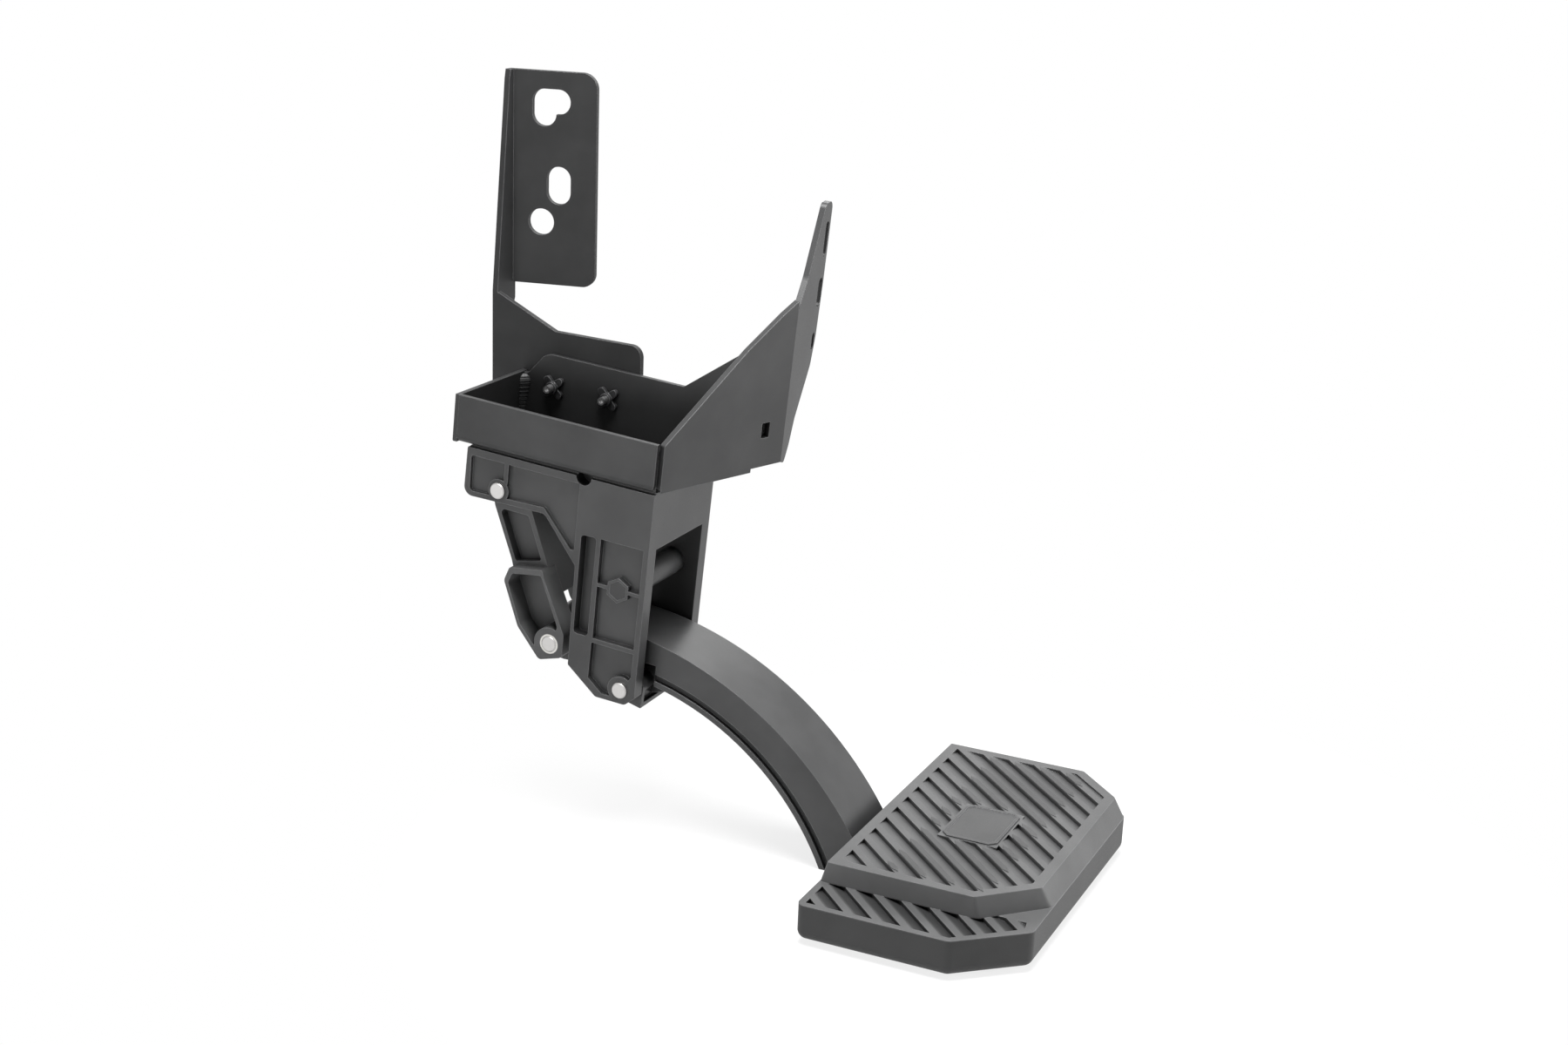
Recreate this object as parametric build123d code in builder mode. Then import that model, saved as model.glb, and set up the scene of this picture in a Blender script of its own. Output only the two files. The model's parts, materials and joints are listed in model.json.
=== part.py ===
from build123d import *
import os
from math import cos, hypot, radians, sin, sqrt, tan

os.makedirs("parts", exist_ok=True)

# The row frame: origin at the centre of the round hole in the frame bracket's flange,
# +X outboard, +Y away from the pad's near end, +Z up.

# Clearances
run_gap = 0.05          # radial, pin in a turning bush
seat_gap = 0.03         # radial, pin or bush in its fixed seat
face_gap = 0.3          # between faces that pass each other
bolt_gap = 0.5          # radial, bolt in a plain hole

# Where the linkage stands: its mid plane and the housing's top outboard corner
mid_y = -71.7
corner_x = 164.3
corner_z = -158.0
tilt = 4.8              # tray and housing lean, outboard side down

# Housing casting, along its own leaning axes from the top outboard corner
housing_width = 95.0
housing_wall = 11.0
housing_length = 154.3
housing_top = 8.0
mouth_web = 9.0         # thickness of the web over the outboard mouth
mouth_height = 45.0
extension_drop = 38.3
column_back = -58.1
column_drop = 157.7
pin_a_at = (-housing_length + 28.1, -28.6)
pin_b_at = (-12.1, -154.0)
pin_c_at = (-75.6, -136.6)
pin_d_at = (36.0, -143.1)
sleeve_at = (-21.9, -79.0)
pin_radius = 6.0
pin_proud = 2.2
pin_chamfer = 0.6
boss_radius = 8.6
lower_boss_radius = 10.4
pocket_depth = 4.6
slot_pocket_depth = 8.5
tail_pocket_depth = 3.0
notch_radius = 6.2
seam_gap = 1.5          # open seam between the tray's floor and the outer edge of the side walls
seam_depth = 3.0
rim = 3.6

# Cross bolt and the sleeve that stops the arm
sleeve_radius = 10.0
cross_bolt_radius = 4.0
cross_head_flats = 12.4
cross_head_height = 4.0
hex_boss_flats = 16.8
nut_height = 6.5

# Inboard link: depths from the mid plane
link_back = 25.0        # inner face of the plates
link_foot_half = 44.0   # outer face below the housing
link_foot_back = 33.0   # inner face of the far plate's foot
link_floor = 1.8        # metal left behind the pockets
link_eye = 15.0
link_boss = 12.5
bush_wall = 1.5
washer_radius = 11.0

# Rocker between the lower pin and the arm
rocker_bush = 14.0
rocker_face = 0.0
rocker_tongue = 34.0
rocker_eye = 6.6
pin_d_radius = 3.5
pin_d_travel = 7.0      # how far the pin moves in the arm's slotted seat
pin_d_side = 0.9        # sideways room of that seat

# Arm casting
arm_width = 57.0
arm_top_start = (-45.0, -115.65)
arm_top_end = (173.6, -221.45)
arm_top_radius = 268.2
arm_skin = 4.5
arm_side = 7.0
arm_root = -45.0
arm_tongue = 38.0
arm_eye = 20.2
lip_start = (5.5, -152.5)
lip_end_at = (151.1, -252.94)
lip_radius = 202.5
lip_thick = 4.2
lip_groove = 5.0
groove_depth = 3.5
arm_foot = -424.0
plate_thick = 6.0

# Pad, in the row's X and Y
pad_left = 329.9
pad_right = 472.0
pad_near = -170.5
pad_far = 67.9
pad_corner = 35.5
pad_top = -380.2
pad_ledge = 14.8
pad_height = 41.3
block_draft = 1.8       # how far the block's near side leans out over its height
skirt_near = 40.5
skirt_side = 7.6
skirt_left = 4.5
skirt_inset = 0.4
pad_shell = 6.0
ledge_shell = 6.5
tread_border = 7.5
tread_pitch = 14.5
tread_depth = 3.3
tread_slope = 9.5
tread_angle = -45.0
tread_phase = -4.6      # Y where one groove's wall meets the outboard border
panel_at = (402.0, -62.0)
panel_size = (44.0, 60.0)

# Tray, along the housing's leaning axes
tray_sheet = 3.5
tray_left = -housing_length - 13.0
tray_near = -housing_width / 2 - 1.4
tray_back = housing_width / 2 - 5.9
tray_bend = 1.8
lip_end = -1.0
lip_corner = 6.0
tray_lip = 35.9
back_height = 53.2
wing_flare = 16.5
wing_sheet = 4.5
wing_length = 127.4
flange_turn = 8.0
flange_width = 60.0

# Frame bracket
bracket_sheet = 4.5
bracket_turn = 12.0
bracket_hole = 10.0
bracket_slot = 9.25

# Fasteners
stud_radius = 3.0
stud_at = ((-housing_length + 17.5, 29.0), (-housing_length + 64.1, 30.5))
stud_reach = 12.0
screw_radius = 4.0
screw_left = -housing_length + 14.3
screw_right = -30.0
screw_side = 22.0
pad_bolt_radius = 4.0
washer_thick = 1.5
cage_at = (106.0, 31.0)  # square hole in the wing and the nut behind it
cage_hole = (8.6, 11.6)
cage_nut_height = 5.0
cage_bore = 3.0

lean = radians(tilt)
half_width = housing_width / 2
inner_half = half_width - housing_wall
flare = radians(wing_flare)
turn = radians(bracket_turn)
screw_at = [(x, y) for x in (screw_left, screw_right) for y in (-screw_side, screw_side)]


def below_chord(start, end, radius):
    """Centre, below the chord, of an arc of some radius through two points."""
    dx = end[0] - start[0]
    dz = end[1] - start[1]
    chord = hypot(dx, dz)
    reach = sqrt(radius**2 - chord**2 / 4)
    return ((start[0] + end[0]) / 2 + dz / chord * reach, (start[1] + end[1]) / 2 - dx / chord * reach)


arm_top_center = below_chord(arm_top_start, arm_top_end, arm_top_radius)
lip_center = below_chord(lip_start, lip_end_at, lip_radius)


def cast(x, z):
    """Row X and Z of a point given along the housing's leaning axes."""
    return (corner_x + x * cos(lean) + z * sin(lean), corner_z - x * sin(lean) + z * cos(lean))


def leaning(x, z):
    """The housing's leaning axes for a point given in the row's X and Z."""
    dx = x - corner_x
    dz = z - corner_z
    return (dx * cos(lean) - dz * sin(lean), dx * sin(lean) + dz * cos(lean))


cast_side = Plane(origin=(corner_x, mid_y, corner_z), x_dir=(cos(lean), 0, -sin(lean)), z_dir=(0, -1, 0))
cast_top = Plane(origin=(corner_x, mid_y, corner_z), x_dir=(cos(lean), 0, -sin(lean)), z_dir=(sin(lean), 0, cos(lean)))


def cast_at(depth):
    """Leaning side plane at a depth beyond the mid plane, facing the near side."""
    return cast_side.offset(-depth)


def cast_end(x):
    """Plane across the housing's length at an x, with local x along +Y and local y up."""
    origin = cast_side.from_local_coords((x, 0, 0))
    return Plane(origin=origin, x_dir=(0, 1, 0), z_dir=(cos(lean), 0, -sin(lean)))


def side_at(depth):
    """Upright side plane at a depth beyond the mid plane, facing the near side."""
    return Plane(origin=(0, mid_y + depth, 0), x_dir=(1, 0, 0), z_dir=(0, -1, 0))


def ring(at, inner, outer, start, length):
    """Ring about a pin's axis, from one depth over a length away from the near side."""
    with BuildPart() as made:
        with BuildSketch(cast_at(start)):
            with Locations(at):
                Circle(outer)
                Circle(inner, mode=Mode.SUBTRACT)
        extrude(amount=-length)
    return made.part


def pin(at, radius, start, length):
    """Plain pin with chamfered ends about a pin's axis."""
    with BuildPart() as made:
        with BuildSketch(cast_at(start)):
            with Locations(at):
                Circle(radius)
        extrude(amount=-length)
        chamfer(made.edges().filter_by(GeomType.CIRCLE), pin_chamfer)
    return made.part


# Housing

pocket_left = column_back + 3.0
slot_right = pocket_left + 12.5
panel_left = slot_right + rim
panel_right = -4.4
panel_top = -mouth_height + 1.0
panel_bottom = -120.3
cross_rib = 2.6

with BuildPart() as housing:
    with BuildSketch(cast_at(0)):
        with BuildLine():
            FilletPolyline(
                (-housing_length, 0),
                (0, 0),
                (0, -column_drop),
                (-7.5, -164.6),
                (-31.8, -164.9),
                (-56.6, -146.3),
                (column_back, -69.2),
                (-86.5, -36.6),
                (-housing_length - 0.7, -extension_drop),
                radius=(3.0, 0, 2.0, 5.0, 4.0, 2.0, 3.0, 7.0, 7.0),
                close=True,
            )
        make_face()
    extrude(amount=half_width, both=True)
    with BuildSketch(cast_at(0)):
        with BuildLine():
            Polyline(
                (-housing_length - 9, -housing_top),
                (-mouth_web, -housing_top),
                (-mouth_web, -mouth_height),
                (9, -mouth_height),
                (9, -200),
                (-housing_length - 9, -200),
                close=True,
            )
        make_face()
    extrude(amount=inner_half, both=True, mode=Mode.SUBTRACT)
    for side in (-1, 1):
        with BuildSketch(cast_at(side * half_width)) as deep_slot:
            with BuildLine():
                Polyline(
                    (pocket_left, panel_top - 0.5),
                    (slot_right, panel_top),
                    (slot_right, panel_bottom),
                    (pocket_left + 0.6, panel_bottom),
                    close=True,
                )
            make_face()
            fillet(deep_slot.vertices(), 2.8)
        extrude(amount=side * slot_pocket_depth, mode=Mode.SUBTRACT)
        with BuildSketch(cast_at(side * half_width)) as panels:
            with BuildLine():
                Polyline(
                    (panel_left, panel_top),
                    (panel_right, panel_top),
                    (panel_right, panel_bottom),
                    (panel_left + 0.6, panel_bottom),
                    close=True,
                )
            make_face()
            with Locations((-20, sleeve_at[1] + 0.2)):
                Rectangle(60, cross_rib, mode=Mode.SUBTRACT)
            with Locations(sleeve_at):
                RegularPolygon(hex_boss_flats / 2, 6, major_radius=False, rotation=30, mode=Mode.SUBTRACT)
        extrude(amount=side * pocket_depth, mode=Mode.SUBTRACT)
        with BuildSketch(cast_at(side * half_width)):
            with BuildLine():
                Polyline(
                    (panel_left, -123.8),
                    (panel_right, -123.8),
                    (panel_right, -142.0),
                    pin_b_at,
                    (-21.0, -161.0),
                    (-27.1, -161.0),
                    (panel_left, -151.7),
                    close=True,
                )
            make_face()
            with Locations(pin_b_at):
                Circle(lower_boss_radius, mode=Mode.SUBTRACT)
        extrude(amount=side * pocket_depth, mode=Mode.SUBTRACT)
        with BuildSketch(cast_at(side * half_width)) as tail_pockets:
            with BuildLine():
                FilletPolyline(
                    (-housing_length + rim, -7.2),
                    (-60.0, -7.2),
                    (-60.0, -58.0),
                    (-63.0, -58.0),
                    (-87.6, -32.0),
                    (-housing_length + rim + 0.5, -34.4),
                    radius=(2.0, 1.0, 1.0, 1.0, 4.0, 3.0),
                    close=True,
                )
            make_face()
            with Locations(pin_a_at):
                Circle(boss_radius, mode=Mode.SUBTRACT)
            with Locations((pin_a_at[0] + 5.5, pin_a_at[1] + 15)):
                Rectangle(3.4, 18, mode=Mode.SUBTRACT)
            with Locations((pin_a_at[0] + 3.0, pin_a_at[1] - 8)):
                Rectangle(8, 8, mode=Mode.SUBTRACT)
        extrude(amount=side * tail_pocket_depth, mode=Mode.SUBTRACT)
        with BuildSketch(cast_at(side * half_width)):
            with Locations((column_back + 0.8, -seam_gap)):
                Circle(notch_radius)
        extrude(amount=side * housing_wall, mode=Mode.SUBTRACT)
        with BuildSketch(cast_at(side * half_width)):
            with Locations((-housing_length / 2, 0)):
                Rectangle(housing_length + 2.0, 2 * seam_gap)
        extrude(amount=side * seam_depth, mode=Mode.SUBTRACT)
        with BuildSketch(cast_at(side * half_width)):
            with Locations(sleeve_at):
                RegularPolygon(cross_head_flats / 2 + seat_gap, 6, major_radius=False, rotation=30)
        extrude(amount=side * cross_head_height, mode=Mode.SUBTRACT)
    with BuildSketch(cast_at(0)):
        with Locations(pin_a_at, pin_b_at):
            Circle(pin_radius + seat_gap)
        with Locations(sleeve_at):
            Circle(cross_bolt_radius + seat_gap)
    extrude(amount=housing_width, both=True, mode=Mode.SUBTRACT)
    with BuildSketch(cast_top):
        with Locations(*screw_at):
            Circle(screw_radius + seat_gap)
    extrude(amount=-housing_top, mode=Mode.SUBTRACT)
housing.part.label = "housing"

# Pins, washers and rings fixed in the housing

pin_span = housing_width + 2 * pin_proud + 2.0

with BuildPart() as pin_a:
    add(pin(pin_a_at, pin_radius, -half_width - pin_proud, pin_span))
pin_a.part.label = "pin_a"

with BuildPart() as pin_b:
    add(pin(pin_b_at, pin_radius, -half_width - pin_proud, pin_span))
pin_b.part.label = "pin_b"

with BuildPart() as pin_rings:
    for at in (pin_a_at, pin_b_at):
        add(ring(at, pin_radius + seat_gap, pin_radius + 2.6, half_width, 1.4))
pin_rings.part.label = "pin_rings"

washer_end = inner_half - washer_thick
with BuildPart() as thrust_washers:
    for at in (pin_a_at, pin_b_at):
        add(ring(at, pin_radius + seat_gap, washer_radius, washer_end, washer_thick))
        add(ring(at, pin_radius + seat_gap, washer_radius, -inner_half, washer_thick))
thrust_washers.part.label = "thrust_washers"

# Cross bolt, stop sleeve and nut

with BuildPart() as stop_sleeve:
    add(ring(sleeve_at, cross_bolt_radius + bolt_gap, sleeve_radius, -inner_half, 2 * inner_half))
stop_sleeve.part.label = "stop_sleeve"

with BuildPart() as cross_bolt:
    with BuildSketch(cast_at(-half_width)):
        with Locations(sleeve_at):
            RegularPolygon(cross_head_flats / 2, 6, major_radius=False, rotation=30)
    extrude(amount=-cross_head_height)
    with BuildSketch(cast_at(-half_width + cross_head_height)):
        with Locations(sleeve_at):
            Circle(cross_bolt_radius)
    extrude(amount=-(housing_width - cross_head_height))
cross_bolt.part.label = "cross_bolt"

with BuildPart() as cross_nut:
    with BuildSketch(cast_at(half_width - cross_head_height)):
        with Locations(sleeve_at):
            RegularPolygon(cross_head_flats / 2, 6, major_radius=False, rotation=30)
            Circle(cross_bolt_radius + seat_gap, mode=Mode.SUBTRACT)
    extrude(amount=-nut_height)
cross_nut.part.label = "cross_nut"

# Tray

wing_root = (3.0, tray_near + 3.4)
wing_foot_x = wing_root[0] + (tray_back + tray_sheet - wing_root[1]) * tan(flare)
wing_inset = wing_sheet / cos(flare)
back_meets_wing = wing_root[0] + (tray_back - wing_root[1]) * tan(flare) - wing_inset / 2

wing_plane = Plane(
    origin=cast_top.from_local_coords((wing_root[0], wing_root[1], 0)),
    x_dir=cast_top.from_local_coords((sin(flare), cos(flare), 0)) - cast_top.origin,
    z_dir=cast_top.from_local_coords((cos(flare), -sin(flare), 0)) - cast_top.origin,
)
bend_x = wing_root[0] + wing_length * sin(flare)
bend_y = wing_root[1] + wing_length * cos(flare)
flange_dir = radians(flange_turn)
flange_plane = Plane(
    origin=cast_top.from_local_coords((bend_x, bend_y, 0)),
    x_dir=cast_top.from_local_coords((-sin(flange_dir), cos(flange_dir), 0)) - cast_top.origin,
    z_dir=cast_top.from_local_coords((cos(flange_dir), sin(flange_dir), 0)) - cast_top.origin,
)

with BuildPart() as tray:
    with BuildSketch(cast_top):
        with BuildLine():
            Polyline(
                (tray_left, tray_near + 2 * tray_sheet),
                (wing_root[0], tray_near + 2 * tray_sheet),
                (wing_root[0], wing_root[1]),
                (wing_foot_x, tray_back + tray_sheet),
                (tray_left, tray_back + tray_sheet),
                close=True,
            )
        make_face()
        with Locations(*screw_at):
            Circle(screw_radius + bolt_gap, mode=Mode.SUBTRACT)
    extrude(amount=tray_sheet)
    with BuildSketch(cast_end(tray_left + tray_sheet)):
        with BuildLine():
            FilletPolyline(
                (tray_near, 0),
                (tray_near, tray_lip),
                (tray_near + tray_sheet, tray_lip),
                (tray_near + tray_sheet, tray_sheet),
                (tray_near + 4 * tray_sheet, tray_sheet),
                (tray_near + 4 * tray_sheet, 0),
                radius=(tray_bend + tray_sheet, 0.4, 0.4, tray_bend, 0, 0),
                close=True,
            )
        make_face()
    extrude(amount=lip_end - tray_left - tray_sheet)
    with BuildSketch(cast_at(tray_near - 0.5)):
        with Locations((lip_end - lip_corner / 2, lip_corner / 2)):
            Rectangle(lip_corner, lip_corner)
        with Locations((lip_end - lip_corner, lip_corner)):
            Circle(lip_corner, mode=Mode.SUBTRACT)
    extrude(amount=-tray_sheet - 1.0, mode=Mode.SUBTRACT)
    with BuildSketch(cast_at(tray_near + 0.8)):
        with BuildLine():
            FilletPolyline(
                (tray_left, tray_lip),
                (tray_left + tray_sheet, tray_lip),
                (tray_left + tray_sheet, 0),
                (tray_left, 0),
                radius=(0.5, 0.5, 0, 1.0),
                close=True,
            )
        make_face()
    extrude(amount=-(tray_back + tray_sheet - tray_near - 0.8))
    with BuildSketch(cast_at(tray_back)):
        with BuildLine():
            FilletPolyline(
                (tray_left + 1.0, 0),
                (tray_left + 1.0, tray_lip - 1.0),
                (tray_left + 7.0, tray_lip - 1.0),
                (-146.0, back_height),
                (-29.4, back_height),
                (back_meets_wing, 97.5),
                (back_meets_wing, 0),
                radius=(0, 0, 1.0, 12.0, 3.0, 0, 0),
                close=True,
            )
        make_face()
        with Locations(*stud_at):
            Circle(stud_radius + bolt_gap, mode=Mode.SUBTRACT)
    extrude(amount=-tray_sheet)
    with BuildSketch(wing_plane):
        with BuildLine():
            FilletPolyline(
                (0, tray_sheet - 0.6),
                (0, 35.0),
                (77.6, 94.9),
                (113.2, 118.1),
                (wing_length, 126.0),
                (wing_length, tray_sheet - 0.6),
                radius=(0, 2.0, 20.0, 20.0, 0, 0),
                close=True,
            )
        make_face()
        with Locations(cage_at):
            Rectangle(*cage_hole, mode=Mode.SUBTRACT)
    extrude(amount=-wing_sheet)
    with BuildSketch(flange_plane):
        with BuildLine():
            FilletPolyline(
                (0, tray_sheet - 0.6),
                (8.5, 0),
                (17.0, 12.0),
                (25.0, 31.0),
                (51.5, 66.0),
                (57.5, 88.0),
                (flange_width, 130.0),
                (flange_width + 0.5, 191.0),
                (43.0, 191.0),
                (16.5, 139.8),
                (0, 119.0),
                radius=(0, 5.0, 12.0, 12.0, 12.0, 20.0, 20.0, 7.0, 6.0, 18.0, 0),
                close=True,
            )
        make_face()
        for at, length, width in (((52.6, 163.0), 27.0, 8.0), ((52.6, 122.3), 22.6, 10.5), ((50.2, 85.0), 13.4, 6.4)):
            with Locations(at):
                SlotOverall(length, width, rotation=90, mode=Mode.SUBTRACT)
    extrude(amount=-wing_sheet)
tray.part.label = "tray"

with BuildPart() as cage_nut:
    with BuildSketch(wing_plane.offset(-wing_sheet)):
        with Locations(cage_at):
            Rectangle(cage_hole[0] + 3.0, cage_hole[1] + 2.0)
            Circle(cage_bore, mode=Mode.SUBTRACT)
    extrude(amount=-cage_nut_height)
cage_nut.part.label = "cage_nut"

# Screws from the tray floor into the housing

with BuildPart() as tray_screws:
    with BuildSketch(cast_top.offset(tray_sheet + washer_thick)):
        with Locations(*screw_at):
            Circle(screw_radius * 1.6)
    extrude(amount=screw_radius)
    with BuildSketch(cast_top.offset(tray_sheet + washer_thick)):
        with Locations(*screw_at):
            Circle(screw_radius)
    extrude(amount=-(tray_sheet + washer_thick + housing_top))
    with BuildSketch(cast_top.offset(tray_sheet + washer_thick + screw_radius)):
        with Locations(*screw_at):
            RegularPolygon(screw_radius * 0.75, 6, major_radius=False)
    extrude(amount=-screw_radius / 2, mode=Mode.SUBTRACT)
tray_screws.part.label = "tray_screws"

with BuildPart() as tray_washers:
    with BuildSketch(cast_top.offset(tray_sheet)):
        with Locations(*screw_at):
            Circle(screw_radius * 2)
            Circle(screw_radius + seat_gap, mode=Mode.SUBTRACT)
    extrude(amount=washer_thick)
tray_washers.part.label = "tray_washers"

# Frame bracket: lower plate behind the tray, narrow web, and the turned flange

plate_near = tray_back + tray_sheet
stud_row = [cast(*at) for at in stud_at]
web_left = -26.3
flange_front = Plane(origin=(0, 0, 0), x_dir=(cos(turn), sin(turn), 0), z_dir=(sin(turn), -cos(turn), 0))

with BuildPart() as frame_bracket:
    with BuildSketch(side_at(plate_near)):
        with BuildLine():
            FilletPolyline(
                (web_left, -51.4),
                (web_left + 5.8, -52.7),
                (28.5, -76.2),
                (101.5, -78.6),
                (101.5, -141.0),
                (web_left, -141.0),
                radius=(0, 0, 4.0, 9.0, 6.0, 3.0),
                close=True,
            )
        make_face()
        with Locations(*stud_row):
            Circle(stud_radius + bolt_gap, mode=Mode.SUBTRACT)
    extrude(amount=-bracket_sheet)
    with BuildSketch(Plane(origin=(web_left, 0, 0), x_dir=(0, 1, 0), z_dir=(1, 0, 0))):
        with BuildLine():
            Polyline(
                (mid_y + plate_near, -90.0),
                (mid_y + plate_near, -51.4),
                (-10.3, 105.6),
                (-8.8, 112.6),
                (-1.2, 112.6),
                (-1.2, -60.0),
                (-14.0, -90.0),
                close=True,
            )
        make_face()
    extrude(amount=bracket_sheet)
    with BuildSketch(flange_front):
        with BuildLine():
            FilletPolyline(
                (web_left / cos(turn) + 1.5, 112.6),
                (42.8, 112.6),
                (42.8, -47.5),
                (web_left / cos(turn) + 1.5, -47.5),
                radius=(0, 12.0, 10.0, 0),
                close=True,
            )
        make_face()
        Circle(bracket_hole, mode=Mode.SUBTRACT)
        with Locations((13.6, 28.0)):
            SlotOverall(28.4, 2 * bracket_slot, rotation=90, mode=Mode.SUBTRACT)
        with Locations((1.9, 85.6)):
            SlotOverall(9.0 + 2 * bracket_slot, 2 * bracket_slot, rotation=90, mode=Mode.SUBTRACT)
        with Locations((7.4, 90.1)):
            SlotOverall(11.0 + 2 * bracket_slot, 2 * bracket_slot, mode=Mode.SUBTRACT)
    extrude(amount=-bracket_sheet)
frame_bracket.part.label = "frame_bracket"

# Studs, cross-lobed nuts, washers and hex nuts that join tray and bracket

stack = plate_near + bracket_sheet
with BuildPart() as bracket_studs:
    with BuildSketch(cast_at(tray_back - stud_reach)):
        with Locations(*stud_at):
            Circle(stud_radius)
    extrude(amount=-(stack - tray_back + stud_reach + 10.0))
    with BuildSketch(cast_at(tray_back - stud_reach)):
        with Locations(*stud_at):
            Circle(stud_radius * 0.6)
    extrude(amount=-2.4, mode=Mode.SUBTRACT)
bracket_studs.part.label = "bracket_studs"

with BuildPart() as lobed_nuts:
    with BuildSketch(cast_at(tray_back)):
        with Locations(*stud_at):
            for angle in (45, 135):
                SlotOverall(20.0, 5.6, rotation=angle)
            Circle(4.6)
            Circle(stud_radius + seat_gap, mode=Mode.SUBTRACT)
    extrude(amount=3.4)
    with BuildSketch(cast_at(tray_back - 3.4)):
        with Locations(*stud_at):
            Circle(4.6)
            Circle(stud_radius + seat_gap, mode=Mode.SUBTRACT)
    extrude(amount=3.0)
lobed_nuts.part.label = "lobed_nuts"

with BuildPart() as stud_washers:
    with BuildSketch(cast_at(stack)):
        with Locations(*stud_at):
            Circle(stud_radius * 2.2)
            Circle(stud_radius + seat_gap, mode=Mode.SUBTRACT)
    extrude(amount=-washer_thick)
stud_washers.part.label = "stud_washers"

with BuildPart() as stud_nuts:
    with BuildSketch(cast_at(stack + washer_thick)):
        with Locations(*stud_at):
            RegularPolygon(5.0, 6, major_radius=False)
            Circle(stud_radius + seat_gap, mode=Mode.SUBTRACT)
    extrude(amount=-5.0)
stud_nuts.part.label = "stud_nuts"

# Inboard link: two plates with a thicker foot below the housing, joined by a web,
# with deep rimmed pockets outside

bush_outer = pin_radius + run_gap + bush_wall
link_half = inner_half - washer_thick - face_gap
link_head = link_half - link_back
foot_spans = ((-1, link_back), (1, link_foot_back))

with BuildPart() as inboard_link:
    for side, foot_back in foot_spans:
        with BuildSketch(cast_at(side * link_half)) as head_outline:
            with BuildLine():
                FilletPolyline(
                    (pin_a_at[0] - link_eye, pin_a_at[1] + 4.0),
                    (pin_a_at[0] + link_eye, pin_a_at[1] + 4.0),
                    (-103.4, -44.7),
                    (-78.2, -102.0),
                    (-88.0, -106.0),
                    (-113.0, -98.0),
                    (-117.8, -83.2),
                    (-135.3, -45.3),
                    radius=(6.0, 6.0, 8.0, 1.5, 2.0, 2.0, 4.0, 10.0),
                    close=True,
                )
            make_face()
            with Locations(pin_a_at):
                Circle(link_eye)
        extrude(amount=side * link_head)
        with BuildSketch(cast_at(side * link_foot_half)) as foot_outline:
            with BuildLine():
                FilletPolyline(
                    (-113.8, -86.0),
                    (-117.6, -97.0),
                    (-103.0, -129.9),
                    (-83.0, -151.0),
                    (-64.0, -144.6),
                    (-64.0, -127.0),
                    (-84.5, -87.5),
                    (-86.5, -81.5),
                    radius=(2.5, 6.0, 10.0, 4.0, 4.0, 8.0, 2.0, 2.0),
                    close=True,
                )
            make_face()
        extrude(amount=side * (link_foot_half - foot_back))
        with BuildSketch(cast_at(side * link_half)) as head_pocket:
            with BuildLine():
                FilletPolyline(
                    (-131.0, -46.5),
                    (-106.8, -46.5),
                    (-92.8, -78.4),
                    (-114.2, -83.8),
                    radius=(3.0, 3.0, 2.0, 2.0),
                    close=True,
                )
            make_face()
            with Locations(pin_a_at):
                Circle(link_eye, mode=Mode.SUBTRACT)
        extrude(amount=side * (link_head - link_floor), mode=Mode.SUBTRACT)
        with BuildSketch(cast_at(side * link_foot_half)) as foot_pocket:
            with BuildLine():
                FilletPolyline(
                    (-111.2, -90.3),
                    (-114.2, -98.6),
                    (-101.4, -127.4),
                    (-88.0, -141.5),
                    (-69.2, -123.4),
                    (-87.0, -85.8),
                    radius=(2.0, 5.0, 8.0, 2.0, 5.0, 2.0),
                    close=True,
                )
            make_face()
            with Locations(pin_c_at):
                Circle(link_boss, mode=Mode.SUBTRACT)
        extrude(amount=side * (link_foot_half - foot_back - link_floor), mode=Mode.SUBTRACT)
    with BuildSketch(cast_at(0)):
        with BuildLine():
            Polyline(
                (-107.0, -48.0),
                (-102.4, -47.0),
                (-78.2, -102.0),
                (-83.0, -104.0),
                close=True,
            )
        make_face()
    extrude(amount=link_back + link_floor, both=True)
    with BuildSketch(cast_at(0)):
        with Locations(pin_a_at, pin_c_at):
            Circle(bush_outer + seat_gap)
    extrude(amount=link_foot_half, both=True, mode=Mode.SUBTRACT)
inboard_link.part.label = "inboard_link"

with BuildPart() as link_bushes:
    for start in (-link_half, link_back):
        add(ring(pin_a_at, pin_radius + run_gap, bush_outer, start, link_head))
    add(ring(pin_c_at, pin_radius + seat_gap, bush_outer, -link_foot_half, link_foot_half - link_back))
    add(ring(pin_c_at, pin_radius + seat_gap, bush_outer, link_foot_back, link_foot_half - link_foot_back))
link_bushes.part.label = "link_bushes"

with BuildPart() as pin_c:
    add(pin(pin_c_at, pin_radius, -link_foot_half - pin_chamfer, 2 * (link_foot_half + pin_chamfer)))
pin_c.part.label = "pin_c"

# Rocker: wide hub on the lower pin, narrow tongue up into the arm

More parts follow.
